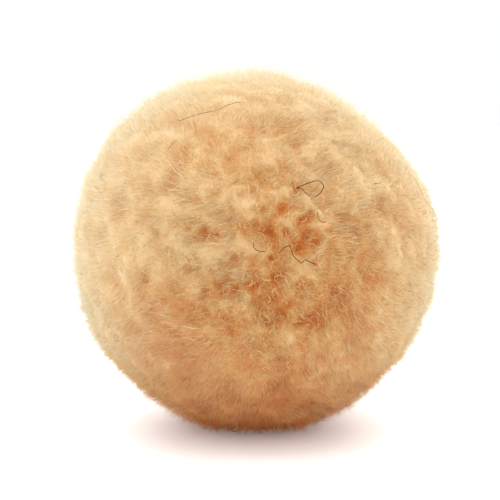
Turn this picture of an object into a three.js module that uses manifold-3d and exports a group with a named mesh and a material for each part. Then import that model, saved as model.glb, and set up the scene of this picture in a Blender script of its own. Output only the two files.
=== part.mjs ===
// Wool pom-pom: cut locks of pile that radiate from a dense heart, trimmed to a ball with a flat spot below.
// Millimetres, +Z up. The origin is on the resting plane, under the middle of the ball.
import * as THREE from "three";
import { mergeVertices } from "three/addons/utils/BufferGeometryUtils.js";
import Module from "manifold-3d";

// Driving dimensions
const ballRadius = 30; // middle of the ball to the trimmed ends of the pile
const flatSpotDiameter = 18; // pile pressed level under the ball's own weight
const heartRadius = 18; // dense middle in which every lock is rooted
const rootDepth = 5; // how far a lock's root runs into the heart
const lockCount = 300;
const partingWidth = 0.8; // gap between neighbouring locks at the ball's surface
const trimUnevenness = 0.7; // how far the ends of the locks differ from the trimmed ball
const scatter = 0.45; // shift of a lock from even spacing, as a share of that spacing
const settlePasses = 1; // times that the locks move to the middle of their room
const combReach = 1.6; // how far the ends are swept sideways

const middleHeight = Math.sqrt(ballRadius ** 2 - (flatSpotDiameter / 2) ** 2);
const middle = new THREE.Vector3(0, 0, middleHeight);
const evenSpacing = Math.sqrt((4 * Math.PI) / lockCount); // angle between locks, in radians

// Widths of a lock along its length. along runs from 0 at its root to 1 at its end,
// and a width of 1 fills its room between the partings.
const freeEnd = [
  { along: 0, width: 1 },
  { along: 0.9, width: 1 },
  { along: 1, width: 0.5 },
];
// A lock under the ball ends level on the surface and spreads there.
const standingEnd = [
  { along: 0, width: 1 },
  { along: 0.85, width: 1 },
  { along: 1, width: 0.86 },
];

// Swells (+) and dents (-) of the trimmed ball, in millimetres of rise and degrees of spread.
// clock turns from +X towards +Z as seen from the front, and toFront leans from there to the front (-Y).
const swells = [
  { clock: 12, toFront: 0, spread: 15, rise: 0.75 },
  { clock: 50, toFront: 0, spread: 23, rise: -1.6 },
  { clock: 104, toFront: 0, spread: 9, rise: -0.4 },
  { clock: 147, toFront: 0, spread: 17, rise: 0.8 },
  { clock: 213, toFront: 0, spread: 10, rise: 0.4 },
  { clock: 230, toFront: 0, spread: 11, rise: -0.9 },
  { clock: 312, toFront: 0, spread: 11, rise: -0.9 },
  { clock: 330, toFront: 50, spread: 24, rise: 0.6 },
  { clock: 120, toFront: 48, spread: 22, rise: 0.5 },
  { clock: 210, toFront: 62, spread: 18, rise: -0.5 },
  { clock: 30, toFront: -50, spread: 24, rise: 0.7 },
  { clock: 165, toFront: -45, spread: 22, rise: -0.8 },
  { clock: 285, toFront: -55, spread: 20, rise: 0.5 },
];

// Broad waves in which the pile is swept: each runs along one axis and pushes the ends along another.
const combWaves = [
  { along: [0.8, 0.3, 0.5], push: [0.2, 0.6, 0.8], wavelength: 46, share: 0.5, phase: 0.4 },
  { along: [-0.4, 0.8, 0.4], push: [0.9, 0.1, -0.4], wavelength: 37, share: 0.3, phase: 2.1 },
  { along: [0.3, -0.5, 0.8], push: [-0.5, 0.8, 0.2], wavelength: 31, share: 0.2, phase: 4.0 },
];

// A repeatable number from 0 to 1 for lock i: what is left after the point of a large sine.
const shuffle = { lock: 12.9898, salt: 78.233, size: 43758.5453 };
function chance(i, salt) {
  const x = Math.sin(i * shuffle.lock + salt * shuffle.salt) * shuffle.size;
  return x - Math.floor(x);
}

// The same from -1 to 1.
function swing(i, salt) {
  return 2 * chance(i, salt) - 1;
}

// Two axes that lie square to a direction and to each other.
function tangents(direction) {
  const aside = Math.abs(direction.z) < 0.9 ? new THREE.Vector3(0, 0, 1) : new THREE.Vector3(1, 0, 0);
  const u = new THREE.Vector3().crossVectors(aside, direction).normalize();
  return { u, v: new THREE.Vector3().crossVectors(direction, u) };
}

// Directions of the locks: an even spiral from the underside to the crown, each shifted a little.
// The first lock points straight down and is the one that the ball stands on.
function lockDirections() {
  const goldenAngle = Math.PI * (3 - Math.sqrt(5));
  return Array.from({ length: lockCount }, (_, i) => {
    const z = -1 + (2 * i) / (lockCount - 1);
    const across = Math.sqrt(Math.max(0, 1 - z * z));
    const turn = i * goldenAngle;
    const direction = new THREE.Vector3(across * Math.cos(turn), across * Math.sin(turn), z);
    if (i === 0) return direction;
    const { u, v } = tangents(direction);
    direction.addScaledVector(u, swing(i, 1) * scatter * evenSpacing);
    direction.addScaledVector(v, swing(i, 2) * scatter * evenSpacing);
    return direction.normalize();
  });
}

// The part of a flat outline on the near side of the line normal . point = offset.
function clipped(outline, normal, offset) {
  const kept = [];
  outline.forEach((point, i) => {
    const next = outline[(i + 1) % outline.length];
    const here = normal.dot(point) - offset;
    const there = normal.dot(next) - offset;
    if (here <= 0) kept.push(point);
    if (here * there < 0) kept.push(point.clone().lerp(next, here / (here - there)));
  });
  return kept;
}

// The room of one lock: the outline, on a plane that touches the unit ball there, of all that lies nearer
// to it than to any other lock, drawn in by an inset all round.
function lockRoom(direction, axes, directions, inset) {
  const reach = 3 * evenSpacing;
  let room = [[-1, -1], [1, -1], [1, 1], [-1, 1]].map(([x, y]) => new THREE.Vector2(x * reach, y * reach));
  for (const other of directions) {
    if (other === direction || other.dot(direction) < Math.cos(reach)) continue;
    const normal = new THREE.Vector2(axes.u.dot(other), axes.v.dot(other));
    const halfway = (1 - direction.dot(other)) / normal.length();
    room = clipped(room, normal.normalize(), halfway - inset);
  }
  return room;
}

// The locks crowd each other evenly: all but the first move to the middle of their room.
function settled(directions) {
  return directions.map((direction, i) => {
    if (i === 0) return direction;
    const axes = tangents(direction);
    const room = lockRoom(direction, axes, directions, 0);
    const centre = room.reduce((sum, corner) => sum.add(corner), new THREE.Vector2());
    centre.divideScalar(room.length);
    return direction.clone().addScaledVector(axes.u, centre.x).addScaledVector(axes.v, centre.y).normalize();
  });
}

function area(outline) {
  return Math.abs(THREE.ShapeUtils.area(outline));
}

// The four corners of a room that leave out the least of it.
function fourCorners(room) {
  let corners = room;
  while (corners.length > 4) {
    const shorter = corners.map((_, drop) => corners.filter((_, i) => i !== drop));
    corners = shorter.reduce((best, one) => (area(one) > area(best) ? one : best));
  }
  return corners;
}

// How far the trimmed ball reaches in a direction.
function trimmedReach(direction) {
  return swells.reduce((reach, { clock, toFront, spread, rise }) => {
    const round = THREE.MathUtils.degToRad(clock);
    const lean = THREE.MathUtils.degToRad(toFront);
    const peak = new THREE.Vector3(
      Math.cos(lean) * Math.cos(round),
      -Math.sin(lean),
      Math.cos(lean) * Math.sin(round),
    );
    const off = direction.angleTo(peak) / THREE.MathUtils.degToRad(spread);
    return reach + rise * Math.exp(-0.5 * off * off);
  }, ballRadius);
}

// Sweeps a point of the pile sideways, more the further out it lies.
function combed(point, direction) {
  const sweep = new THREE.Vector3();
  for (const { along, push, wavelength, share, phase } of combWaves) {
    const place = new THREE.Vector3(...along).normalize().dot(point);
    const height = Math.sin((place / wavelength) * 2 * Math.PI + phase);
    sweep.addScaledVector(new THREE.Vector3(...push).normalize(), share * height);
  }
  sweep.addScaledVector(direction, -sweep.dot(direction));
  const outward = (point.length() - heartRadius) / (ballRadius - heartRadius);
  return point.clone().addScaledVector(sweep, combReach * Math.max(0, outward));
}

// The rings of corners along one lock, from its root to its end. A lock that would reach below the surface
// is made shorter, so that its end lies level on it.
function lockRings(direction, directions, i) {
  const axes = tangents(direction);
  const corners = fourCorners(lockRoom(direction, axes, directions, partingWidth / 2 / ballRadius));
  const trim = trimmedReach(direction) + swing(i, 3) * trimUnevenness;
  const stands = trim * -direction.z > middleHeight;
  const sections = stands ? standingEnd : freeEnd;
  const root = heartRadius - rootDepth;
  return sections.map(({ along, width }) =>
    corners.map((corner) => {
      const way = direction.clone();
      way.addScaledVector(axes.u, corner.x * width).addScaledVector(axes.v, corner.y * width);
      way.normalize();
      const floorReach = way.z < 0 ? middleHeight / -way.z : Infinity;
      const reach = root + along * (Math.min(trim, floorReach) - root);
      const point = combed(way.multiplyScalar(reach), direction).add(middle);
      const level = stands && along === 1;
      return point.setZ(level ? 0 : Math.max(point.z, 0));
    }),
  );
}

// Adds one lock to a list of triangles: its sides from ring to ring, its root and its end.
function addLock(positions, rings) {
  const triangle = (...points) => points.forEach((p) => positions.push(p.x, p.y, p.z));
  const sides = rings[0].length;
  const cap = (ring) => {
    for (let k = 1; k < sides - 1; k++) triangle(ring[0], ring[k], ring[k + 1]);
  };
  for (let r = 0; r + 1 < rings.length; r++) {
    for (let k = 0; k < sides; k++) {
      const next = (k + 1) % sides;
      triangle(rings[r][k], rings[r][next], rings[r + 1][next]);
      triangle(rings[r][k], rings[r + 1][next], rings[r + 1][k]);
    }
  }
  cap([...rings[0]].reverse());
  cap(rings.at(-1));
}

function solidOf(wasm, geometry) {
  const bare = new THREE.BufferGeometry().setAttribute("position", geometry.getAttribute("position"));
  const merged = mergeVertices(geometry.index ? bare.setIndex(geometry.index) : bare);
  return new wasm.Manifold(
    new wasm.Mesh({
      numProp: 3,
      vertProperties: new Float32Array(merged.attributes.position.array),
      triVerts: new Uint32Array(merged.index.array),
    }),
  );
}

function geometryOf(solid) {
  const { vertProperties, triVerts } = solid.getMesh();
  const geometry = new THREE.BufferGeometry();
  geometry.setAttribute("position", new THREE.BufferAttribute(vertProperties, 3));
  geometry.setIndex(new THREE.BufferAttribute(triVerts, 1));
  return geometry;
}

// The whole pile as one body: every lock fused to the heart at its root.
function pileGeometry(wasm) {
  let directions = lockDirections();
  for (let pass = 0; pass < settlePasses; pass++) directions = settled(directions);
  const positions = [];
  directions.forEach((direction, i) => addLock(positions, lockRings(direction, directions, i)));
  const locks = new THREE.BufferGeometry();
  locks.setAttribute("position", new THREE.Float32BufferAttribute(positions, 3));
  const heart = new THREE.IcosahedronGeometry(heartRadius, 1).translate(0, 0, middleHeight);
  const pile = geometryOf(solidOf(wasm, locks).add(solidOf(wasm, heart)));
  pile.computeBoundingBox();
  const centre = pile.boundingBox.getCenter(new THREE.Vector3());
  return pile.translate(-centre.x, -centre.y, 0);
}

const wasm = await Module();
wasm.setup();

const wool = new THREE.MeshStandardMaterial({ color: 0xd8a873, roughness: 0.95, metalness: 0 });

const pile = new THREE.Mesh(pileGeometry(wasm), wool);
pile.name = "pile";

const pomPom = new THREE.Group();
pomPom.add(pile);

export default pomPom;
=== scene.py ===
import math

import bpy
import numpy as np
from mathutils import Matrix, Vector


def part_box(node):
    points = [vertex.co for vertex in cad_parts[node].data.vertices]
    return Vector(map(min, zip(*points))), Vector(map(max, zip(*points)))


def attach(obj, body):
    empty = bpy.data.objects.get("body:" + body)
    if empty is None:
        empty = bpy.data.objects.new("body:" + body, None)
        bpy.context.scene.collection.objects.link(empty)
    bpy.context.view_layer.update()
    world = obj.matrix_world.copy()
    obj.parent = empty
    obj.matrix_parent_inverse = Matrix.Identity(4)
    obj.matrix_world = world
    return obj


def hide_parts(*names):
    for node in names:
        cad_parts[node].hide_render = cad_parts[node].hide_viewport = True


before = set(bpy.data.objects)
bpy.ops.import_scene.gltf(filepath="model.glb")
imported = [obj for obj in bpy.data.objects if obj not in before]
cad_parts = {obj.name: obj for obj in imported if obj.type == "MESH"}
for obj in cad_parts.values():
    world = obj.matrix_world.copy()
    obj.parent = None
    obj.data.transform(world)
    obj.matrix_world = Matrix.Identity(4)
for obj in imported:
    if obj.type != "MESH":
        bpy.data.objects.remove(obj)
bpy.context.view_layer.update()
print("frame loaded:", sorted(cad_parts))

mm = 0.001
dice = np.random.default_rng(2024)

# the trimmed ball that every piece follows, sizes as in the solid
ball = {
    "radius": 30 * mm,        # middle to the trimmed ends
    "flatSpot": 18 * mm,      # pressed level where it stands
    "raised": 0.7 * mm,       # on its longest ends, which reach the table
    # swells and dents: turn from +X to +Z seen from the front, lean to the front, spread in degrees, rise
    "swells": [
        (12, 0, 15, 0.75 * mm),
        (50, 0, 23, -1.6 * mm),
        (104, 0, 9, -0.4 * mm),
        (147, 0, 17, 0.8 * mm),
        (213, 0, 10, 0.4 * mm),
        (230, 0, 11, -0.9 * mm),
        (312, 0, 11, -0.9 * mm),
        (330, 50, 24, 0.6 * mm),
        (120, 48, 22, 0.5 * mm),
        (210, 62, 18, -0.5 * mm),
        (30, -50, 24, 0.7 * mm),
        (165, -45, 22, -0.8 * mm),
        (285, -55, 20, 0.5 * mm),
    ],
    "lumpGrain": 6.0 * mm,    # of its uneven trim
    "lumpHeight": 0.24 * mm,
    "lumpSeed": 31,
}
low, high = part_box("pile")
standsAt = math.sqrt(ball["radius"] ** 2 - (ball["flatSpot"] / 2) ** 2) + ball["raised"]
middle = np.array([(low.x + high.x) / 2, (low.y + high.y) / 2, low.z + standsAt])
floorLevel = low.z


# small helpers for directions on the ball

def unit(vectors):
    return vectors / np.linalg.norm(vectors, axis=-1, keepdims=True)


def spiralDirections(count, scatter):
    # spread evenly by the golden angle, then scattered by a share of their spacing
    index = np.arange(count) + 0.5
    rise = -1 + 2 * index / count
    across = np.sqrt(1 - rise ** 2)
    turn = index * math.pi * (3 - math.sqrt(5))
    even = np.stack([across * np.cos(turn), across * np.sin(turn), rise], axis=1)
    spacing = math.sqrt(4 * math.pi / count)
    return unit(even + dice.normal(0, scatter * spacing, even.shape))


def tangentAxes(directions):
    nearPole = np.abs(directions[:, 2:]) >= 0.9
    aside = np.where(nearPole, [[1.0, 0.0, 0.0]], [[0.0, 0.0, 1.0]])
    across = unit(np.cross(aside, directions))
    return across, np.cross(directions, across)


def softNoise(directions, grain, seed):
    # a smooth value about -1 to 1 that changes over the given grain on the surface
    draw = np.random.default_rng(seed)
    count = 24
    waves = unit(draw.normal(size=(count, 3))) * 2 * math.pi * ball["radius"] / grain
    waves = waves * draw.uniform(0.6, 1.4, (count, 1))
    phases = draw.uniform(0, 2 * math.pi, count)
    return np.sin(directions @ waves.T + phases).sum(axis=1) / math.sqrt(count / 2)


def trimLumps(directions):
    # about -1 between the lumps of the trim to 1 on top of them
    return softNoise(directions, ball["lumpGrain"], ball["lumpSeed"])


def trimmedReach(directions):
    # from the middle of the ball to its trimmed ends
    reach = np.full(len(directions), ball["radius"])
    for clock, toFront, spread, rise in ball["swells"]:
        turn, lean = math.radians(clock), math.radians(toFront)
        peak = [math.cos(lean) * math.cos(turn), -math.sin(lean), math.cos(lean) * math.sin(turn)]
        off = np.arccos(np.clip(directions @ np.array(peak), -1, 1)) / math.radians(spread)
        reach += rise * np.exp(-0.5 * off ** 2)
    return reach + ball["lumpHeight"] * trimLumps(directions)


def tableReach(rises, below):
    # from the middle of the ball to a little below the table
    return standsAt / np.clip(-rises, 1e-6, None) + below


# camera at the photograph's angle

cameraSetup = {
    "lens": 100,                # mm, on a 36 mm sensor
    "sensor": 36,
    "frameWidth": 83.6 * mm,    # what the frame spans at the ball
    "elevation": 6,             # degrees above the table
    "aimLeft": 0.8 * mm,        # the ball stands a little right of centre
}
lookFrom = math.radians(cameraSetup["elevation"])
distance = cameraSetup["frameWidth"] * cameraSetup["lens"] / cameraSetup["sensor"]
cameraData = bpy.data.cameras.new("camera")
cameraData.lens = cameraSetup["lens"]
cameraData.sensor_width = cameraSetup["sensor"]
camera = bpy.data.objects.new("camera", cameraData)
camera.location = (
    middle[0] - cameraSetup["aimLeft"],
    middle[1] - distance * math.cos(lookFrom),
    middle[2] + distance * math.sin(lookFrom),
)
camera.rotation_euler = (math.pi / 2 - lookFrom, 0, 0)
bpy.context.scene.collection.objects.link(camera)
bpy.context.scene.camera = camera
bpy.context.scene.view_settings.view_transform = "Standard"
print("camera set at", round(distance / mm), "mm")


def onFront(right, up):
    # direction of a place seen on the front, given in mm right and up from the middle of the ball
    upward = np.array([0, math.sin(lookFrom), math.cos(lookFrom)])
    target = middle + right * mm * np.array([1, 0, 0]) + up * mm * upward
    eye = np.array(camera.location)
    sight = unit(target - eye)
    near = (middle - eye) @ sight
    miss = np.linalg.norm(eye + sight * near - middle)
    return unit(eye + sight * (near - math.sqrt(max(ball["radius"] ** 2 - miss ** 2, 0))) - middle)


# materials

def hexColor(code):
    parts = [int(code[i:i + 2], 16) / 255 for i in (1, 3, 5)]
    return tuple(c / 12.92 if c <= 0.04045 else ((c + 0.055) / 1.055) ** 2.4 for c in parts) + (1.0,)


def addNode(tree, kind, inputs=None, stops=None, **settings):
    node = tree.nodes.new(kind)
    for name, value in settings.items():
        setattr(node, name, value)
    for name, value in (inputs or {}).items():
        if isinstance(value, bpy.types.NodeSocket):
            tree.links.new(value, node.inputs[name])
        else:
            node.inputs[name].default_value = value
    if stops:
        ramp = node.color_ramp.elements
        while len(ramp) < len(stops):
            ramp.new(0.5)
        for element, (place, code) in zip(ramp, stops):
            element.position = place
            element.color = hexColor(code)
    return node


def newMaterial(name):
    material = bpy.data.materials.new(name)
    material.use_nodes = True
    material.node_tree.nodes.clear()
    return material, material.node_tree


# dyed sheep's wool, crimped and cut: matte; its deeper orange down between the fibres is painted shade, its
# paler ends painted light, and the palest ends a painted pale rim away from the open front
woolLook = {
    # deep to pale end, for the warmest fibres and for the palest; the bright orange at 0 is painted glow
    # where the pile meets the table
    "warm": [(0.0, "#d87030"), (0.12, "#b05e28"), (0.4, "#c0804a"), (0.75, "#ca985c"), (1.0, "#dcb884")],
    "pale": [(0.0, "#d87838"), (0.12, "#b86a2e"), (0.4, "#d09e64"), (0.75, "#dec092"), (0.88, "#e6cea4")],
    "ends": {"pile": "#eeddbf", "curls": "#eeddbf", "fuzz": "#faf0e0"},      # last of the pale ones, reached at the painted pale rim and at the palest tips
    "roughness": 0.9,
    "gloss": 0.1,
    "passes": 0.65,            # light that goes into the fibres and through them
    "passColors": (1.0, 0.65, 0.4),
    "passDepth": {"pile": 0.18 * mm, "felt": 0.18 * mm, "curls": 0.04 * mm, "fuzz": 0.04 * mm},
    "sheen": 0.04,
    "sheenTint": "#ffe6c8",
}


def woolSurface(tree, color, passDepth):
    # shared finish of all the wool: matte, a faint sheen, a little light goes through
    wool = addNode(tree, "ShaderNodeBsdfPrincipled", {
        "Base Color": color,
        "Roughness": woolLook["roughness"],
        "Sheen Weight": woolLook["sheen"],
        "Sheen Tint": hexColor(woolLook["sheenTint"]),
        "Specular IOR Level": woolLook["gloss"],
        "Subsurface Weight": woolLook["passes"],
        "Subsurface Radius": woolLook["passColors"],
        "Subsurface Scale": passDepth,
    })
    addNode(tree, "ShaderNodeOutputMaterial", {"Surface": wool.outputs["BSDF"]})


def dyedWool(name, piece):
    material, tree = newMaterial(name)
    lie = addNode(tree, "ShaderNodeUVMap", uv_map="OFBake")
    split = addNode(tree, "ShaderNodeSeparateXYZ", {"Vector": lie.outputs["UV"]})
    warm = addNode(tree, "ShaderNodeValToRGB", {"Fac": split.outputs["Y"]}, woolLook["warm"])
    paleStops = [*woolLook["pale"], (1.0, woolLook["ends"][piece])]
    pale = addNode(tree, "ShaderNodeValToRGB", {"Fac": split.outputs["Y"]}, paleStops)
    mix = addNode(tree, "ShaderNodeMix", {
        "Factor": split.outputs["X"],
        "A": warm.outputs["Color"],
        "B": pale.outputs["Color"],
    }, data_type="RGBA")
    woolSurface(tree, mix.outputs["Result"], woolLook["passDepth"][piece])
    return material


# the crowded pile just under the ends: felted, a tangle of fine hairs, with painted shade deep orange down
# the partings
feltLook = {
    "paintedRim": "#e6d2b0",        # painted pale rim, away from the open front
    # painted shade, pale to deep orange: down the partings, in the dents and underneath
    "byPaintedShade": [(0.0, "#d8b88a"), (0.4, "#c2945c"), (0.7, "#b8743a"), (1.0, "#aa561e")],
    "hairs": [0.55 * mm, 0.8 * mm, 1.2 * mm],     # spacing of the hairs in each layer of the tangle
    "hairDetail": 2.0,
    "hairWidth": 0.05,
    "hairLift": 0.1,
    "layerShift": 3.7,          # keeps the layers from lying alike
    "mottle": 1.0 * mm,
    "mottleDetail": 4.0,
    "mottleLift": 0.3,
}


def feltedWool():
    material, tree = newMaterial("felted wool, crowded under the ends")
    place = addNode(tree, "ShaderNodeTexCoord")
    # painted shade that the felt carries, stored as its depth, with mottle and fine hairs over it
    sunk = addNode(tree, "ShaderNodeAttribute", attribute_name="depth").outputs["Fac"]
    mottle = addNode(tree, "ShaderNodeTexNoise", {
        "Vector": place.outputs["Object"],
        "Scale": 1 / feltLook["mottle"],
        "Detail": feltLook["mottleDetail"],
    })
    broad = addNode(tree, "ShaderNodeMath", {
        0: mottle.outputs["Fac"], 1: feltLook["mottleLift"], 2: -feltLook["mottleLift"] / 2,
    }, operation="MULTIPLY_ADD")
    sunk = addNode(tree, "ShaderNodeMath", {0: sunk, 1: broad.outputs["Value"]}).outputs["Value"]
    for layer, spacing in enumerate(feltLook["hairs"]):
        waves = addNode(tree, "ShaderNodeTexNoise", {
            "Vector": place.outputs["Object"],
            "W": feltLook["layerShift"] * layer,
            "Scale": 1 / spacing,
            "Detail": feltLook["hairDetail"],
        }, noise_dimensions="4D")
        off = addNode(tree, "ShaderNodeMath", {0: waves.outputs["Fac"], 1: 0.5}, operation="SUBTRACT")
        near = addNode(tree, "ShaderNodeMath", {0: off.outputs["Value"]}, operation="ABSOLUTE")
        hair = addNode(tree, "ShaderNodeMapRange", {
            "Value": near.outputs["Value"], "From Min": 0.0, "From Max": feltLook["hairWidth"],
            "To Min": -feltLook["hairLift"], "To Max": feltLook["hairLift"] / 4,
        })
        sunk = addNode(tree, "ShaderNodeMath", {0: sunk, 1: hair.outputs["Result"]}).outputs["Value"]
    shade = addNode(tree, "ShaderNodeValToRGB", {"Fac": sunk}, feltLook["byPaintedShade"])
    # painted pale rim away from the open front
    paintedRim = addNode(tree, "ShaderNodeAttribute", attribute_name="paintedRim").outputs["Fac"]
    mix = addNode(tree, "ShaderNodeMix", {
        "Factor": paintedRim,
        "A": shade.outputs["Color"],
        "B": hexColor(feltLook["paintedRim"]),
    }, data_type="RGBA")
    woolSurface(tree, mix.outputs["Result"], woolLook["passDepth"]["felt"])
    return material


woolMaterial = dyedWool("dyed wool, crimped and cut", "pile")
curlMaterial = dyedWool("dyed wool, single curled fibres", "curls")
fuzzMaterial = dyedWool("dyed wool, loose fine hairs", "fuzz")
feltMaterial = feltedWool()
print("materials made")


# fibres: closed three-sided hairs, tapered to a point, joined in one mesh

tintRange = (0.02, 0.98)      # of the colour chart, clear of its edges
chartWidth = 0.006            # of a hair on the chart, so no face is flat on it


def fibreMesh(name, lines, thickness, tint, along, material, softness):
    count, stations, _ = lines.shape
    along = np.broadcast_to(along, (count, stations))
    segments = stations - 1
    runs = unit(np.gradient(lines, axis=1))
    side = unit(dice.normal(size=(count, 1, 3)))
    side = unit(side - (side * runs).sum(axis=2, keepdims=True) * runs)
    other = np.cross(runs, side)
    rings = []
    for corner in range(3):
        turn = 2 * math.pi * corner / 3
        arm = math.cos(turn) * side + math.sin(turn) * other
        rings.append(lines + arm * thickness[..., None] / 2)
    ringPoints = np.stack(rings, axis=2)[:, :segments]            # fibre, station, corner, xyz
    points = np.concatenate([
        ringPoints.reshape(count, segments * 3, 3),
        lines[:, segments:],
    ], axis=1)
    perFibre = segments * 3 + 1

    # one fibre's triangles, with the place of each corner across and along the hair
    faces, places = [(0, 2, 1)], [((0, 0), (2, 0), (1, 0))]
    for s in range(segments - 1):
        for c in range(3):
            d = (c + 1) % 3
            a, b, e, f = s * 3 + c, s * 3 + d, s * 3 + 3 + c, s * 3 + 3 + d
            faces += [(a, b, f), (a, f, e)]
            places += [((c, s), (c + 1, s), (c + 1, s + 1)), ((c, s), (c + 1, s + 1), (c, s + 1))]
    for c in range(3):
        last = (segments - 1) * 3
        faces.append((last + c, last + (c + 1) % 3, segments * 3))
        places.append(((c, segments - 1), (c + 1, segments - 1), (c + 0.5, segments)))
    faces, places = np.array(faces), np.array(places)
    allFaces = (faces[None] + np.arange(count)[:, None, None] * perFibre).reshape(-1, 3)
    across = tint[:, None, None] + (places[None, :, :, 0] / 3 - 0.5) * chartWidth
    lengthwise = along[:, places[:, :, 1].astype(int)]
    chart = np.stack([across, lengthwise], axis=-1).clip(0, 1).reshape(-1, 2)

    mesh = bpy.data.meshes.new(name)
    mesh.vertices.add(count * perFibre)
    mesh.vertices.foreach_set("co", points.astype(np.float32).ravel())
    mesh.loops.add(allFaces.size)
    mesh.loops.foreach_set("vertex_index", allFaces.astype(np.int32).ravel())
    mesh.polygons.add(len(allFaces))
    mesh.polygons.foreach_set("loop_start", np.arange(0, allFaces.size, 3, dtype=np.int32))
    mesh.update(calc_edges=True)
    mesh.uv_layers.new(name="OFBake").uv.foreach_set("vector", chart.astype(np.float32).ravel())
    mesh.shade_smooth()
    # crowded pile shades as one soft surface, so its normals lean to the outside of the ball
    outward = unit(points - middle).reshape(-1, 3)
    own = np.empty(count * perFibre * 3, np.float32)
    mesh.vertices.foreach_get("normal", own)
    soft = unit(outward * softness + own.reshape(-1, 3) * (1 - softness))
    mesh.normals_split_custom_set_from_vertices(soft)
    mesh.materials.append(material)
    return mesh


def placePiece(name, mesh):
    piece = bpy.data.objects.new(name, mesh)
    bpy.context.scene.collection.objects.link(piece)
    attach(piece, "root")
    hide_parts("pile")
    print(name, len(mesh.polygons), "faces")


def placeFibres(parts, lines, thickness, tint, paleness, material, softness):
    # one piece for each named part of the fibres
    for name, part in parts.items():
        placePiece(name, fibreMesh(
            name, lines[part], thickness[part], tint[part], paleness[part], material, softness))


# how ends that would reach below the table bend outwards and lie on it
tableTouch = {
    "clear": 0.12 * mm,       # of the middle of a lying fibre above the table
    "splay": 0.7,             # outwards, as a share of how far below it would be
    "calm": 1 * mm,           # round the middle of the flat spot, where little splays
}


def restOnFloor(lines):
    below = np.clip(floorLevel + tableTouch["clear"] - lines[..., 2], 0, None)
    outward = lines[..., :2] - middle[:2]
    outward = outward / (np.linalg.norm(outward, axis=-1, keepdims=True) + tableTouch["calm"])
    lines[..., :2] += outward * below[..., None] * tableTouch["splay"]
    lines[..., 2] += below
    return lines


# places where the pile is most open, which it leans away from
openSetup = {
    "front": (3.0, 0.0),      # right and up from the middle in mm, as seen
    # on the other sides: turn from +X to +Y and rise, in degrees
    "behind": [(48, 8), (92, -5), (132, 12), (70, 40)],
    "over": 20,               # degrees
    "elsewhere": 0.3,         # how open it is away from them
}
openWays = [onFront(*openSetup["front"])]
for turn, rise in openSetup["behind"]:
    turn, rise = math.radians(turn), math.radians(rise)
    level = math.cos(rise)
    openWays.append(np.array([level * math.cos(turn), level * math.sin(turn), math.sin(rise)]))


def openNear(directions):
    # how near each direction lies to each of the open places, 0 to 1
    near = []
    for way in openWays:
        off = np.arccos(np.clip(directions @ way, -1, 1)) / math.radians(openSetup["over"])
        near.append(np.exp(-0.5 * off ** 2))
    return np.array(near)


# painted light: away from the open front the fibres and the felt are painted paler, a pale rim round the
# front
paintedPaleRimSetup = {
    "power": 1.4,             # how late that sets in on the way to the sides
    "backLoss": 0.4,          # share of it that is lost again towards the back
    "backOver": 45,           # degrees
    "litFrom": -0.95,         # rise where the shade underneath begins to lift
    "litOver": 0.6,
    "tint": 0.6,              # how much paler the fibres are there
    "ends": 0.5,              # how much more of their pale end shows
}


def paintedPaleRim(directions):
    # 1 where the pale rim is painted, 0 at the open front and in the shade underneath
    off = np.arccos(np.clip(directions @ openWays[0], -1, 1))
    aside = math.pi / 2
    share = (1 - np.cos(np.clip(off, 0, aside))) ** paintedPaleRimSetup["power"]
    back = np.clip((off - aside) / math.radians(paintedPaleRimSetup["backOver"]), 0, 1)
    share = share * (1 - paintedPaleRimSetup["backLoss"] * back)
    lit = np.clip((directions[:, 2] - paintedPaleRimSetup["litFrom"]) / paintedPaleRimSetup["litOver"], 0, 1)
    return share * lit * lit * (3 - 2 * lit)


# partings: where the pile opens and shows its depth
partings = {
    # on the front as seen: right and up from the middle of the ball and half width, all in mm,
    # then how deep, 0 to 1
    "seen": [
        (-8.5, 3.0, 0.8, 1.1), (-6.5, 2.3, 0.55, 0.8), (-1.8, 3.7, 0.5, 0.7), (2.5, 2.7, 0.65, 0.9),
        (4.5, 6.6, 0.5, 0.7), (8.8, 5.3, 0.7, 0.9), (7.5, 0.0, 0.7, 1.0), (3.0, -5.3, 0.6, 0.9),
        (-0.2, -6.3, 0.6, 0.8), (-3.2, -7.0, 0.5, 0.7), (-8.5, -7.6, 0.55, 0.7), (-6.1, 9.6, 0.45, 0.6),
        (0.0, 10.1, 0.5, 0.6), (-3.2, -1.3, 0.5, 0.8), (2.8, -8.3, 0.5, 0.5), (5.3, -10.0, 0.6, 0.6),
        (8.8, -12.0, 0.55, 0.6), (13.0, -4.8, 0.55, 0.6), (12.3, 10.5, 0.5, 0.4), (-18.6, 5.5, 0.4, 0.4),
        (-17.4, 2.5, 0.4, 0.35), (-20.4, -0.3, 0.4, 0.3), (-21.2, -5.0, 0.4, 0.35), (-11.3, -3.3, 0.45, 0.6),
        (9.1, 3.6, 0.5, 0.6), (10.4, 1.7, 0.5, 0.6), (-5.5, -11.3, 0.5, 0.6), (-1.8, -12.3, 0.5, 0.6),
    ],
    "scatter": 0.6,
    "elsewhere": 130,
    "size": (0.3 * mm, 0.45 * mm),
    "share": (0.2, 0.6),      # how deep
    "topFade": 2,             # how fast they grow shallow towards the top
    "small": 3200,            # over the whole ball, kept where the pile is open
    "smallSize": (0.18 * mm, 0.32 * mm),
    "smallShare": (0.2, 0.8),
    "smallMiddle": 0.9,       # how much of that depth in the middle
    "smallRight": 1.5,        # and how much more to the right
    "smallRange": (0.25, 1.1),
    "faintest": 0.1,          # shallower ones are left out
    "drop": 0.7 * mm,
    "deepest": 1.1,           # where several meet
    "ragged": 0.8,            # how far their outlines wander
    "widest": 0.7,
    "grain": 1.6 * mm,
    "seed": 21,
}


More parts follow.
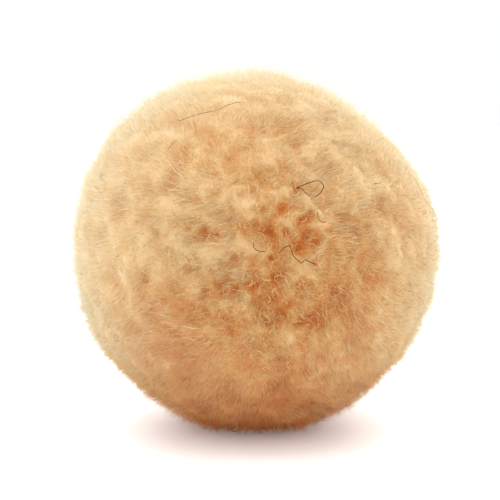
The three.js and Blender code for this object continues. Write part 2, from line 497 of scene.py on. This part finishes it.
def partingTable():
    rows = []
    for right, up, size, share in partings["seen"]:
        rows.append((*onFront(right, up), size * mm, share))
    for way in spiralDirections(partings["elsewhere"], partings["scatter"]):
        size = dice.uniform(*partings["size"])
        share = dice.uniform(*partings["share"]) * np.clip(1 - partings["topFade"] * way[2], 0, 1)
        rows.append((*way, size, share))
    for way in spiralDirections(partings["small"], partings["scatter"]):
        size = dice.uniform(*partings["smallSize"])
        toRight = partings["smallMiddle"] + partings["smallRight"] * way[0]
        share = dice.uniform(*partings["smallShare"]) * openNear(way).max()
        share = share * np.clip(toRight, *partings["smallRange"])
        if share > partings["faintest"]:
            rows.append((*way, size, share))
    return np.array(rows)


partingRows = partingTable()


def partingDepth(directions):
    # 0 on the open pile to 1 at the bottom of a parting
    depth = np.zeros(len(directions))
    wander = partings["ragged"] * softNoise(directions, partings["grain"], partings["seed"])
    ragged = np.clip(1 + wander, partings["widest"], None)
    for x, y, z, size, share in partingRows:
        near = 1 - directions @ np.array([x, y, z])
        depth += share * np.exp(-near * ragged * (ball["radius"] / size) ** 2)
    return np.clip(depth, 0, partings["deepest"])


# broad changes of tone over the ball: painted light towards the top and on the lumps, the pile's painted
# shade underneath, and paler and warmer patches
tonePatchesAndPaintedLightSetup = {
    "paintedTopLight": 0.18,            # painted light: paler towards the top, where more light falls
    "lumps": 0.12,            # painted light and shade: paler on the lumps of the trim, warmer in the dents
    # paler and, below 0, warmer places on the front as seen: right and up from the middle of the ball
    # and half width, all in mm, then how much
    "seen": [
        (-6.1, -3.0, 1.5, 0.22), (-9.8, -0.7, 1.2, 0.22), (-12.8, 2.3, 1.7, 0.22), (8.5, -3.3, 1.2, 0.22),
        (-3.8, 2.0, 0.9, 0.22), (0.2, 4.0, 0.9, 0.22), (-12.1, -2.7, 1.2, 0.22), (-1.5, 0.0, 0.9, 0.22),
        (-17.0, 1.0, 8.0, 0.55), (-19.0, 17.0, 6.0, -0.1), (0.0, -16.0, 9.0, 0.18), (1.0, 3.0, 9.0, 0.2),
        (14.0, 14.0, 7.0, 0.18), (21.0, 1.0, 8.0, 0.1), (-14.0, -13.0, 7.0, -0.5), (14.0, -13.0, 7.0, -0.12),
    ],
    "underReach": 21 * mm,    # height of the pile's own shade above the table
    "underPower": 1.5,
}


def tonePatchesAndPaintedLight(directions):
    # painted light paler towards the top and on the lumps, warmer in the dents, then paler and warmer
    # patches
    pale = tonePatchesAndPaintedLightSetup["paintedTopLight"] * directions[:, 2] + tonePatchesAndPaintedLightSetup["lumps"] * trimLumps(directions)
    for right, up, size, amount in tonePatchesAndPaintedLightSetup["seen"]:
        near = 1 - directions @ onFront(right, up)
        pale += amount * np.exp(-near * (ball["radius"] / (size * mm)) ** 2)
    return pale


def underShade(heights):
    # 1 on the table to 0 where the pile stands clear of its own shade
    share = np.clip(1 - (heights - floorLevel) / tonePatchesAndPaintedLightSetup["underReach"], 0, 1)
    return share ** tonePatchesAndPaintedLightSetup["underPower"]


# tufts: fibres that lean together, draw in at their ends and part from the next tuft
tuftSetup = {
    "count": 5000,
    "scatter": 0.8,
    "gather": 0.5,            # share of the way that the ends draw in to the middle of their tuft
    "lean": 0.35 * mm,
    "flow": 0.9 * mm,         # lean away from where the pile is most open
    "calm": 0.05,             # round those places, where it stands upright
    "rise": 0.6 * mm,         # of its middle above the parting round it
    "level": 0.4,             # share of the way in where it is level with the trim
    "edge": 4,                # how sharply it falls off at its edge
    "uneven": 0.28 * mm,      # between the lengths of tufts
    "tint": 0.13,
}
tuftWays = spiralDirections(tuftSetup["count"], tuftSetup["scatter"])
tuftLeans = dice.normal(0, tuftSetup["lean"], tuftWays.shape)
tuftTints = dice.normal(0, tuftSetup["tint"], len(tuftWays))
tuftRises = dice.normal(0, tuftSetup["uneven"], len(tuftWays))


def tuftPlace(directions):
    # the tuft that each direction lies in, how far inside it, 0 to 1, how far along the lean, -1 to 1,
    # which way the pile leans, and how open it is there
    owner, inside = [], []
    batches = 32              # to spare memory
    for some in np.array_split(directions, batches):
        closeness = some @ tuftWays.T
        best = np.argpartition(closeness, -2, axis=1)[:, -2:]
        away = np.arccos(np.clip(np.take_along_axis(closeness, best, axis=1), -1, 1))
        first = away.argmin(axis=1)[:, None]
        owner.append(np.take_along_axis(best, first, axis=1)[:, 0])
        inside.append(np.abs(away[:, 0] - away[:, 1]) / (away[:, 0] + away[:, 1]))
    owner, inside = np.concatenate(owner), np.concatenate(inside)
    near, flow = openNear(directions), []
    for way in openWays:
        away = (directions @ way)[:, None] * directions - way
        flow.append(away / (np.linalg.norm(away, axis=1, keepdims=True) + tuftSetup["calm"]))
    flow = np.array(flow)
    least = openSetup["elsewhere"]
    openness = least + (1 - least) * near.max(axis=0)
    flow = np.take_along_axis(flow, near.argmax(axis=0)[None, :, None], axis=0)[0]
    halfTuft = math.sqrt(math.pi / tuftSetup["count"])
    lengthwise = np.clip(((directions - tuftWays[owner]) * flow).sum(axis=1) / halfTuft, -1, 1)
    return owner, inside, lengthwise, flow, openness


# pile: the cut ends, fine spikes that stand out of the felt in tufts
pileSetup = {
    "count": 112000,
    "scatter": 0.5,           # from even spacing, as a share of it
    "sweep": 0.8 * mm,        # lean that whole sides of the ball share
    "sweepGrain": 26 * mm,
    "sweepSeeds": (5, 6),
    "stray": 0.45 * mm,       # chance lean of one fibre
    "short": 0.3 * mm,        # most ends stop under the trimmed ball
    "ragged": 0.6 * mm,       # and few reach far past it
    "longest": 1.4 * mm,
    "edgeSunk": 0.3,          # at the edge of a tuft, against the bottom of a parting
    "follows": (0.6, 1.2),    # chance share of that which one fibre takes
    "drop": 1.4,              # of its end in a parting, against the felt's
    "below": 0.3 * mm,        # the table, before it bends
    "depth": 2.0 * mm,        # from its end to where a fibre is lost in the felt
    "thickness": 0.115 * mm,  # at the root, drawn out to a point
    "uneven": (0.5, 1.5),     # shares of the thickness
    "softness": 0.35,
    # warm 0 to pale 1
    "tint": 0.5,
    "tintChance": 0.1,
    "blotch": 0.1,
    "blotchGrain": 9 * mm,
    "blotchSeed": 7,
    "tuftTint": 0.3,          # share of the tuft's own tint that shows where the pile is closed
    "leanPaintedLight": 0.2,          # painted light: paler on the side that its tuft leans to
    "proudFrom": 0.3,         # painted light: ends that stand proud of the trim are paler
    "proudOver": 0.6 * mm,
    "proudPaintedLight": 0.35,
    # painted shade: warmer down the partings
    "sunkPaintedShadeTint": 0.9,
    # deep 0 to pale end 1: deeper down among the fibres and in partings as painted shade, paler at long and
    # proud ends as painted light
    "rootPale": 0.48,
    "endPale": 0.32,
    "longPaintedPale": 0.07,
    "palest": 0.95,
    "proudPaintedPale": 0.06,
    "sunkPaintedShadePale": 0.8,
}


def standingPile():
    setup = pileSetup
    axis = spiralDirections(setup["count"], setup["scatter"])
    total = len(axis)
    across, upward = tangentAxes(axis)
    sweep = np.stack([softNoise(axis, setup["sweepGrain"], seed) for seed in setup["sweepSeeds"]], axis=1)
    lean = sweep * setup["sweep"] + dice.normal(0, setup["stray"], (total, 2))
    owner, inside, lengthwise, flow, openness = tuftPlace(axis)
    drawn = (tuftWays[owner] - axis) * ball["radius"] * tuftSetup["gather"]
    aside = (drawn + tuftLeans[owner] + flow * tuftSetup["flow"]) * openness[:, None]
    aside += across * lean[:, :1] + upward * lean[:, 1:]
    overhead = unit(axis * ball["radius"] + aside)                # what the end hangs over
    sunk = np.maximum(partingDepth(axis), partingDepth(overhead))
    sunk = sunk + setup["edgeSunk"] * openness * (1 - inside) ** tuftSetup["edge"]
    sunk = np.clip(sunk, 0, partings["deepest"]) * dice.uniform(*setup["follows"], total)
    ragged = np.minimum(dice.exponential(setup["ragged"], total), setup["longest"])
    trimmed = trimmedReach(axis)
    end = trimmed - sunk * partings["drop"] * setup["drop"] + ragged - setup["short"]
    end += tuftSetup["rise"] * openness * (inside - tuftSetup["level"]) + tuftRises[owner] * inside ** 0.5
    end = np.minimum(end, tableReach(axis[:, 2], setup["below"]))
    root = middle + axis * (end - setup["depth"])[:, None]
    tip = middle + axis * end[:, None] + aside
    lines = restOnFloor(np.stack([root, tip], axis=1))
    along = np.array([[0.0, 1.0]])
    thickness = setup["thickness"] * dice.uniform(*setup["uneven"], (total, 1)) * (1 - along)

    # painted light and shade: a pale rim away from the open front, paler lit sides and proud ends, warmer
    # partings and deeper roots
    paintedRim = paintedPaleRim(axis)
    blotch = setup["blotch"] * softNoise(axis, setup["blotchGrain"], setup["blotchSeed"])
    tint = setup["tint"] + tonePatchesAndPaintedLight(axis) + paintedPaleRimSetup["tint"] * paintedRim + blotch
    ownTint = tuftTints[owner] * (setup["tuftTint"] + (1 - setup["tuftTint"]) * openness)
    tint += ownTint + setup["leanPaintedLight"] * lengthwise * openness
    proud = np.clip((end - trimmed) / setup["proudOver"] - setup["proudFrom"], -1, 1) * openness
    tint += setup["proudPaintedLight"] * proud
    sunk = np.clip(sunk, 0, 1)
    tint = (tint + dice.normal(0, setup["tintChance"], total)).clip(*tintRange)
    tint = tint * (1 - setup["sunkPaintedShadeTint"] * sunk)
    longer = (ragged / setup["ragged"] - 1)[:, None]
    paleness = setup["rootPale"] + setup["endPale"] * along + setup["longPaintedPale"] * longer * along
    paleness = paleness.clip(0, setup["palest"])
    paleness = paleness + (setup["proudPaintedPale"] * proud + paintedPaleRimSetup["ends"] * paintedRim)[:, None]
    paleness = paleness * (1 - setup["sunkPaintedShadePale"] * sunk)[:, None] * (1 - underShade(lines[..., 2]))

    # four pieces, a quarter of the ball each
    right, front = axis[:, 0] > 0, axis[:, 1] < 0
    quarters = {
        "pile_front_left": front & ~right,
        "pile_front_right": front & right,
        "pile_back_left": ~front & ~right,
        "pile_back_right": ~front & right,
    }
    placeFibres(quarters, lines, thickness, tint, paleness, woolMaterial, setup["softness"])


standingPile()


# curls: single crimped fibres that run over the ends of the tufts
curlSetup = {
    "count": 18000,             # fewer are kept where the pile is closed or parted
    "scatter": 0.5,
    "openPower": 1.3,           # how soon they grow fewer where the pile closes
    "partingLoss": 0.8,         # most that a parting takes
    "share": 0.9,               # of the rest that is kept in the middle
    "moreRight": 0.6,
    "fewerAbove": 0.9,
    "shareRange": (0.05, 1.4),
    "length": 1.7 * mm,
    "lengths": (0.6, 1.25),     # shares of it
    "forward": (0.55, 0.2),     # share of the length that runs on, and what it gains towards the end
    "crimp": 0.2 * mm,          # half height of a wave
    "crimps": (0.4, 1.5),
    "crimpFrom": 3,             # full after a third of the length
    "crimpUp": 0.6,             # share of it that stands up from the ball
    "wave": 1.45 * mm,          # wool crimp, as seen
    "waves": (0.75, 1.35),
    "turn": 0.9,                # chance turn away from the lie of the pile
    "bend": 0.9,
    "bendReach": 0.3,
    "rise": 0.1 * mm,           # above the trimmed ends
    "rises": (0.4, 0.9),        # middle and spread
    "endLift": 0.35 * mm,
    "sunk": 1.2 * mm,           # where it comes out of the pile
    "comesOut": 0.4,            # share of the length by which it is out
    "drop": 0.6 * mm,           # in a parting
    "below": 0.2 * mm,          # the table, before it bends
    "thickness": 0.105 * mm,
    "uneven": (0.5, 1.4),
    "taper": (1.08, 4),         # share of the length where it would end, and how sharply
    "steps": 6,
    "softness": 0.1,
    "tint": 0.25,
    "tintChance": 0.25,
    "rootPale": 0.55,
    "endPale": 0.28,
}


def curledFibres():
    setup = curlSetup
    axis = spiralDirections(setup["count"], setup["scatter"])
    flow, openness = tuftPlace(axis)[3:]
    share = setup["share"] + setup["moreRight"] * axis[:, 0] - setup["fewerAbove"] * axis[:, 2]
    share = np.clip(share, *setup["shareRange"])
    parted = np.clip(partingDepth(axis), 0, setup["partingLoss"])
    keep = dice.uniform(0, 1, len(axis)) < openness ** setup["openPower"] * (1 - parted) * share
    axis = axis[keep]
    total = len(axis)
    run = flow[keep] + dice.normal(0, setup["turn"], axis.shape)
    run = unit(run - (run * axis).sum(axis=1, keepdims=True) * axis)
    sideways = np.cross(axis, run)
    s = np.linspace(0, 1, setup["steps"] + 1)[None]
    length = setup["length"] * dice.uniform(*setup["lengths"], (total, 1))
    bend = dice.normal(0, setup["bend"], (total, 1))
    phase = dice.uniform(0, 2 * math.pi, (total, 1))
    wave = setup["wave"] * dice.uniform(*setup["waves"], (total, 1))
    crimp = setup["crimp"] * dice.uniform(*setup["crimps"], (total, 1))
    crimp = crimp * np.clip(s * setup["crimpFrom"], 0, 1)
    swing = 2 * math.pi * s * length / wave + phase
    steady, gain = setup["forward"]
    forward = length * (steady * s + gain * s ** 2)
    aside = crimp * np.sin(swing) + bend * length * setup["bendReach"] * s ** 2
    climb = np.clip(s / setup["comesOut"], 0, 1)
    climb = climb * climb * (3 - 2 * climb)
    rise = setup["rise"] * dice.normal(*setup["rises"], (total, 1))
    height = -setup["sunk"] + (setup["sunk"] + rise) * climb
    endLift = dice.normal(0, setup["endLift"], (total, 1))
    height = height + setup["crimpUp"] * crimp * np.cos(swing) + endLift * s ** 2
    out = trimmedReach(axis)[:, None] - partingDepth(axis)[:, None] * setup["drop"] + height
    out = np.minimum(out, tableReach(axis[:, 2:], setup["below"]))
    lines = (
        middle
        + axis[:, None] * out[..., None]
        + run[:, None] * forward[..., None]
        + sideways[:, None] * aside[..., None]
    )
    sag = (forward ** 2 + aside ** 2) / (2 * ball["radius"])      # follows the round of the ball
    lines = restOnFloor(lines - axis[:, None] * sag[..., None])
    endsAt, sharpness = setup["taper"]
    taper = np.clip((endsAt - s) * sharpness, 0, 1)
    thickness = setup["thickness"] * dice.uniform(*setup["uneven"], (total, 1)) * taper

    # painted pale rim away from the open front; deeper colour at the roots and underneath is painted shade
    paintedRim = paintedPaleRim(axis)
    tint = setup["tint"] + tonePatchesAndPaintedLight(axis) + paintedPaleRimSetup["tint"] * paintedRim
    tint = (tint + dice.normal(0, setup["tintChance"], total)).clip(*tintRange)
    paleness = setup["rootPale"] + setup["endPale"] * s + paintedPaleRimSetup["ends"] * paintedRim[:, None]
    paleness = paleness * (1 - underShade(lines[..., 2]))
    front = axis[:, 1] < 0
    halves = {"curls_front": front, "curls_back": ~front}
    placeFibres(halves, lines, thickness, tint, paleness, curlMaterial, setup["softness"])


curledFibres()


# fuzz: fine single hairs that stand out past the trimmed ends and soften the edge of the ball
fuzzSetup = {
    "count": 48000,
    "scatter": 0.6,
    "reach": 0.9 * mm,          # past the trimmed ends
    "reaches": (2.5, 0.4),      # shape and scale of their chance lengths
    "reachMiddle": 1.2,
    "longerAbove": 0.2,
    "sunk": 0.8 * mm,
    "lean": 0.5 * mm,
    "thickness": 0.036 * mm,
    "uneven": (0.7, 1.3),
    "softness": 0.35,
    "tint": 0.5,
    "tintChance": 0.1,
    "rootPale": 0.5,
    "endPale": 0.4,
    "underShade": 0.7,          # share of the shade underneath that they take
}


def flyawayFuzz():
    setup = fuzzSetup
    axis = spiralDirections(setup["count"], setup["scatter"])
    total = len(axis)
    across, upward = tangentAxes(axis)
    s = np.array([[0.0, 1.0]])
    reach = setup["reach"] * dice.gamma(*setup["reaches"], (total, 1))
    reach = reach * (setup["reachMiddle"] + setup["longerAbove"] * axis[:, 2:])
    out = trimmedReach(axis)[:, None] - setup["sunk"] + (setup["sunk"] + reach) * s
    lean = dice.normal(0, setup["lean"], (total, 2, 1)) * s[:, None]
    lines = (
        middle
        + axis[:, None] * out[..., None]
        + across[:, None] * lean[:, 0, :, None]
        + upward[:, None] * lean[:, 1, :, None]
    )
    lines = restOnFloor(lines)
    thickness = setup["thickness"] * dice.uniform(*setup["uneven"], (total, 1)) * (1 - s)

    # painted pale rim away from the open front; deeper colour at the roots and underneath is painted shade
    paintedRim = paintedPaleRim(axis)
    tint = setup["tint"] + tonePatchesAndPaintedLight(axis) + paintedPaleRimSetup["tint"] * paintedRim
    tint = (tint + dice.normal(0, setup["tintChance"], total)).clip(*tintRange)
    paleness = setup["rootPale"] + setup["endPale"] * s + paintedPaleRimSetup["ends"] * paintedRim[:, None]
    paleness = paleness * (1 - setup["underShade"] * underShade(lines[..., 2]))
    front = axis[:, 1] < 0
    halves = {"fuzz_front": front, "fuzz_back": ~front}
    placeFibres(halves, lines, thickness, tint, paleness, fuzzMaterial, setup["softness"])


flyawayFuzz()


# stray hairs caught in the pile, lying on its ends
# coarse undyed hair, cut short: dark to fair threads, matte, that cross the lie of the pile
strayHairs = {
    "shades": [(0.0, "#5a3614"), (0.5, "#7c5024"), (1.0, "#b08448")],
    "roughness": 0.8,
    "gloss": 0.03,
    "lift": 0.25 * mm,
    "steps": 24,
    "taper": (1.05, 8),         # share of the length where it would end, and how sharply
    "softness": 0.2,
    # shade from dark to light, thickness in mm,
    # then places seen on the front: right and up from the middle of the ball in mm
    "seen": [
        (0.1, 0.15, [(6.8, 10.1), (8.6, 10.9), (10.6, 11.6), (11.6, 10.6), (10.9, 9.4), (9.8, 8.6)]),
        (0.2, 0.14, [(6.8, 10.1), (7.6, 10.1), (8.3, 9.4), (9.1, 8.8)]),
        (0.1, 0.14, [
            (4.0, -0.5), (4.9, 0.4), (5.8, 0.8), (6.3, -1.0), (7.6, -2.3), (8.1, -1.5), (10.0, -2.5),
        ]),
        (0.3, 0.13, [(-0.2, 1.2), (-0.2, 0.4), (0.2, 0.0), (1.0, -0.3), (1.8, -0.2)]),
        (0.4, 0.11, [(10.3, 6.3), (10.3, 5.4), (10.6, 4.8), (11.1, 4.5), (11.6, 4.6)]),
        (0.4, 0.08, [(-12.9, 21.6), (-12.4, 21.4), (-9.5, 21.9), (-7.0, 22.7), (-4.8, 23.6), (-1.3, 24.2)]),
        (0.9, 0.07, [(2.0, 20.6), (4.8, 20.6), (7.6, 20.8)]),
        (0.5, 0.07, [(-14.1, 16.3), (-13.4, 17.2), (-12.6, 17.9)]),
        (0.3, 0.08, [(-11.5, -1.2), (-11.2, -1.7), (-11.0, -2.2)]),
        (0.8, 0.06, [(26.4, 12.4), (28.2, 9.2), (29.2, 6.8), (29.6, 4.5)]),
    ],
}


def strayHair():
    setup = strayHairs
    material, tree = newMaterial("coarse undyed hair")
    lie = addNode(tree, "ShaderNodeUVMap", uv_map="OFBake")
    split = addNode(tree, "ShaderNodeSeparateXYZ", {"Vector": lie.outputs["UV"]})
    shade = addNode(tree, "ShaderNodeValToRGB", {"Fac": split.outputs["X"]}, setup["shades"])
    hair = addNode(tree, "ShaderNodeBsdfPrincipled", {
        "Base Color": shade.outputs["Color"],
        "Roughness": setup["roughness"],
        "Specular IOR Level": setup["gloss"],
    })
    addNode(tree, "ShaderNodeOutputMaterial", {"Surface": hair.outputs["BSDF"]})

    steps = np.linspace(0, 1, setup["steps"] + 1)
    endsAt, sharpness = setup["taper"]
    taper = np.clip((endsAt - steps) * sharpness, 0, 1)
    lines, thickness, tint = [], [], []
    for shadeShare, width, places in setup["seen"]:
        ways = np.array([onFront(*place) for place in places])
        stations = np.linspace(0, 1, len(ways))
        ways = unit(np.stack([np.interp(steps, stations, ways[:, k]) for k in range(3)], axis=1))
        ways[1:-1] = unit(ways[:-2] + 2 * ways[1:-1] + ways[2:])
        out = trimmedReach(ways) + setup["lift"]
        lines.append(middle + ways * out[:, None])
        thickness.append(width * mm * taper)
        tint.append(shadeShare)
    lines, thickness, tint = np.array(lines), np.array(thickness), np.array(tint)
    hairs = fibreMesh("stray_hairs", lines, thickness, tint, steps, material, setup["softness"])
    placePiece("stray_hairs", hairs)


strayHair()


# the felted surface that the ends crowd into
feltSetup = {
    "depth": 0.55 * mm,         # below the trimmed ends
    "lumps": [(4.5 * mm, 0.05 * mm, 11), (2.4 * mm, 0.04 * mm, 12)],    # grain, height, seed
    "edgeSunk": 0.35,           # at the edge of a tuft, against the bottom of a parting
    "clear": 0.8 * mm,          # of the table
    "divisions": 6,
    # painted shade, 0 pale to 1 deep orange: paler on the lumps and the lit side of a tuft, deeper down
    # partings and underneath
    "shade": 0.45,
    "tonePatchesAndPaintedLight": 0.75,
    "lumpPaintedLightOver": 0.6 * mm,
    "sunkShade": 0.8,
    "underShade": 0.5,
    "leanShade": 0.15,
}


def feltedSurface():
    setup = feltSetup
    bpy.ops.mesh.primitive_ico_sphere_add(subdivisions=setup["divisions"], radius=1)
    piece = bpy.context.object
    mesh = piece.data
    bpy.data.objects.remove(piece)
    mesh.name = "pile_felt"
    points = np.empty(len(mesh.vertices) * 3, np.float32)
    mesh.vertices.foreach_get("co", points)
    directions = unit(points.reshape(-1, 3).astype(float))
    lumps = sum(softNoise(directions, grain, seed) * height for grain, height, seed in setup["lumps"])
    _, inside, lengthwise, _, openness = tuftPlace(directions)
    sunk = partingDepth(directions) + setup["edgeSunk"] * openness * (1 - inside) ** tuftSetup["edge"]
    sunk = np.clip(sunk, 0, partings["deepest"])
    out = trimmedReach(directions) - setup["depth"] + lumps - sunk * partings["drop"]
    out += tuftSetup["rise"] * openness * (inside - tuftSetup["level"])
    points = middle + directions * out[:, None]
    points[:, 2] = np.maximum(points[:, 2], floorLevel + setup["clear"])
    mesh.vertices.foreach_set("co", points.astype(np.float32).ravel())
    # painted light and shade, carried as the felt's depth
    shade = setup["shade"] - setup["tonePatchesAndPaintedLight"] * tonePatchesAndPaintedLight(directions) - lumps / setup["lumpPaintedLightOver"]
    shade = shade + setup["sunkShade"] * sunk + setup["underShade"] * underShade(points[:, 2])
    shade -= setup["leanShade"] * lengthwise * openness
    for name, values in {"depth": np.clip(shade, 0, 1), "paintedRim": paintedPaleRim(directions)}.items():
        layer = mesh.attributes.new(name, "FLOAT", "POINT")
        layer.data.foreach_set("value", values.astype(np.float32))
    mesh.materials.append(feltMaterial)
    mesh.shade_smooth()
    mesh.update()
    placePiece("pile_felt", mesh)


feltedSurface()


# plain pale table and soft light all round, brighter from behind and from a softbox overhead
# matte white card, pressed smooth: an even pale ground with a faint mottle and a soft shadow; it glows
# faintly, painted light as if lit from below
stageSetup = {
    "floorSize": 6.0,
    "floorColors": [(0.0, "#f9f9f8"), (1.0, "#fbfbfa")],
    "floorMottle": 25 * mm,
    "floorRoughness": 0.5,
    "floorGloss": 0.5,
    "floorGlow": 0.12,       # lit from below
    "lightColor": "#ffffff",
    "white": 1.0,            # what the camera sees behind the ball
    "front": 1.49,           # light from the camera's side
    "behind": 0.45,          # added from behind
    "behindFrom": -0.3,      # where that sets in, from -1 in front to 1 behind
    "behindFull": 0.8,
    "softboxSize": 0.2,
    "softboxPlace": (0.02, -0.12, 0.5),    # from the middle of the ball
    "softboxPower": 0.42,
}


def paleTable():
    bpy.ops.mesh.primitive_plane_add(size=stageSetup["floorSize"], location=(0, 0, floorLevel))
    floor = bpy.context.object
    floor.name = "table"
    material, tree = newMaterial("matte white card")
    place = addNode(tree, "ShaderNodeTexCoord")
    mottle = addNode(tree, "ShaderNodeTexNoise", {
        "Vector": place.outputs["Object"],
        "Scale": 1 / stageSetup["floorMottle"],
    })
    shade = addNode(tree, "ShaderNodeValToRGB", {"Fac": mottle.outputs["Fac"]}, stageSetup["floorColors"])
    card = addNode(tree, "ShaderNodeBsdfPrincipled", {
        "Base Color": shade.outputs["Color"],
        "Roughness": stageSetup["floorRoughness"],
        "Specular IOR Level": stageSetup["floorGloss"],
        "Emission Color": hexColor(stageSetup["lightColor"]),
        "Emission Strength": stageSetup["floorGlow"],
    })
    addNode(tree, "ShaderNodeOutputMaterial", {"Surface": card.outputs["BSDF"]})
    floor.data.materials.append(material)


def softLight():
    world = bpy.data.worlds.new("soft studio")
    bpy.context.scene.world = world
    world.use_nodes = True
    tree = world.node_tree
    tree.nodes.clear()
    way = addNode(tree, "ShaderNodeTexCoord")
    split = addNode(tree, "ShaderNodeSeparateXYZ", {"Vector": way.outputs["Generated"]})
    behind = addNode(tree, "ShaderNodeMapRange", {
        "Value": split.outputs["Y"],
        "From Min": stageSetup["behindFrom"], "From Max": stageSetup["behindFull"],
        "To Min": stageSetup["front"], "To Max": stageSetup["front"] + stageSetup["behind"],
    }, interpolation_type="SMOOTHSTEP")
    color = hexColor(stageSetup["lightColor"])
    light = addNode(tree, "ShaderNodeBackground", {"Color": color, "Strength": behind.outputs["Result"]})
    plain = addNode(tree, "ShaderNodeBackground", {"Color": color, "Strength": stageSetup["white"]})
    seen = addNode(tree, "ShaderNodeLightPath")
    mix = addNode(tree, "ShaderNodeMixShader", {
        0: seen.outputs["Is Camera Ray"], 1: light.outputs["Background"], 2: plain.outputs["Background"],
    })
    addNode(tree, "ShaderNodeOutputWorld", {"Surface": mix.outputs["Shader"]})


def softbox():
    lamp = bpy.data.lights.new("softbox", "AREA")
    lamp.size = stageSetup["softboxSize"]
    lamp.energy = stageSetup["softboxPower"]
    piece = bpy.data.objects.new("softbox", lamp)
    away = np.array(stageSetup["softboxPlace"])
    piece.location = middle + away
    piece.rotation_euler = Vector(away).to_track_quat("Z", "Y").to_euler()
    bpy.context.scene.collection.objects.link(piece)


paleTable()
softLight()
softbox()
print("table and light set")
